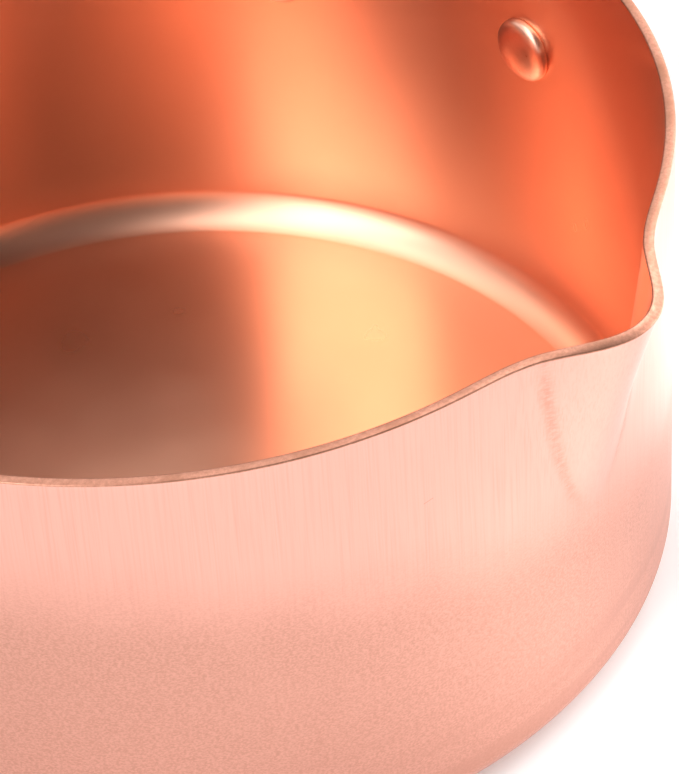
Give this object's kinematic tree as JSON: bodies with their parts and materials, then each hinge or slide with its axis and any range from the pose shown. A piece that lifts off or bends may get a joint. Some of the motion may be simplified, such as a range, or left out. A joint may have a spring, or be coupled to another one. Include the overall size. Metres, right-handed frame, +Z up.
{
  "type": "copper saucepan with pouring lip",
  "caption": "Small straight-sided copper saucepan with a pressed pouring lip, a riveted bracket, a turned wooden handle and a hanging ring.",
  "frame": {"origin": "centre of the pan's flat underside, on the pan's axis", "axes": "+Z up along the pan's axis, +X out along the handle, the pouring lip on the -Y side"},
  "size_m": [0.3419, 0.1692, 0.0987],
  "materials": {
    "pan_copper": "satin brushed copper",
    "rivet_copper": "hammered and polished copper",
    "ferrule_copper": "turned satin copper",
    "cast_brass": "cast brass, polished over a fine grain",
    "turned_brass": "turned brass",
    "ring_brass": "drawn brass wire",
    "rod_steel": "plain steel",
    "grip_wood": "oiled close-grained hardwood"
  },
  "bodies": {
    "pan": {"pan_body": "pan_copper", "rivet_lip_side": "rivet_copper", "rivet_far_side": "rivet_copper", "handle_bracket": "cast_brass", "tang_rod": "rod_steel", "ferrule": "ferrule_copper", "wooden_grip": "grip_wood", "end_cap": "turned_brass", "eye_nut": "turned_brass"},
    "ring": {"hanging_ring": "ring_brass"}
  },
  "joints": [
    {"name": "ring_swing", "type": "hinge", "parent": "pan", "child": "ring", "pos_m": [0.25509, 0, 0.09132], "axis": [0, -1, 0], "range_deg": [-45, 245]}
  ]
}
